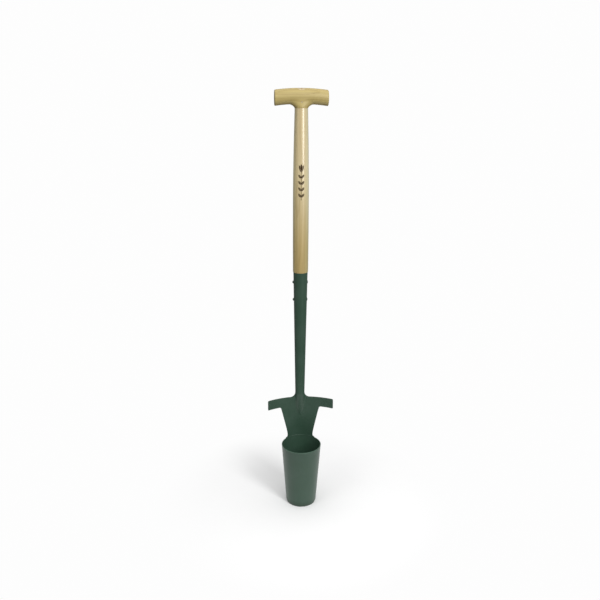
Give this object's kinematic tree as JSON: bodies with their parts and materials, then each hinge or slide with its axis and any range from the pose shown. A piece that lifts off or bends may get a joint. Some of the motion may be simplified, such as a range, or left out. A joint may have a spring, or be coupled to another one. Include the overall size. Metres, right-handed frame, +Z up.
{
  "type": "long-handled bulb planter",
  "caption": "Stand-up bulb planter: open conical steel cutter under a dished blade with two foot treads, tapered riveted socket, round wooden shaft and wooden T-grip.",
  "frame": {"origin": "centre of the cutter's open mouth, on the plane of its cutting edge", "axes": "+Z up along the tool towards the grip, -Y the front, where the foot treads curve towards the user and the cutter stands forward of the shaft, +X to the right seen from the front"},
  "size_m": [0.158, 0.1115, 0.98],
  "materials": {
    "grip_wood": "satin varnish, straight grain along the arms",
    "shaft_wood": "satin varnish, ring-porous straight grain along the shaft",
    "wedge_wood": "end grain, varnished over",
    "pin_steel": "dull, sunk slightly below the wood",
    "green_paint": "semi-matt dark green powder coat"
  },
  "bodies": {
    "root": {"t_grip": "grip_wood", "grip_wedge": "wedge_wood", "grip_pin": "pin_steel", "shaft": "shaft_wood", "socket": "green_paint", "socket_seam_weld": "green_paint", "tread_blade": "green_paint", "front_tail_weld": "green_paint", "back_tail_weld": "green_paint", "blade_cutter_weld": "green_paint", "cutter": "green_paint", "cutter_seam_weld": "green_paint", "upper_rivet": "green_paint", "lower_rivet": "green_paint"}
  },
  "joints": []
}
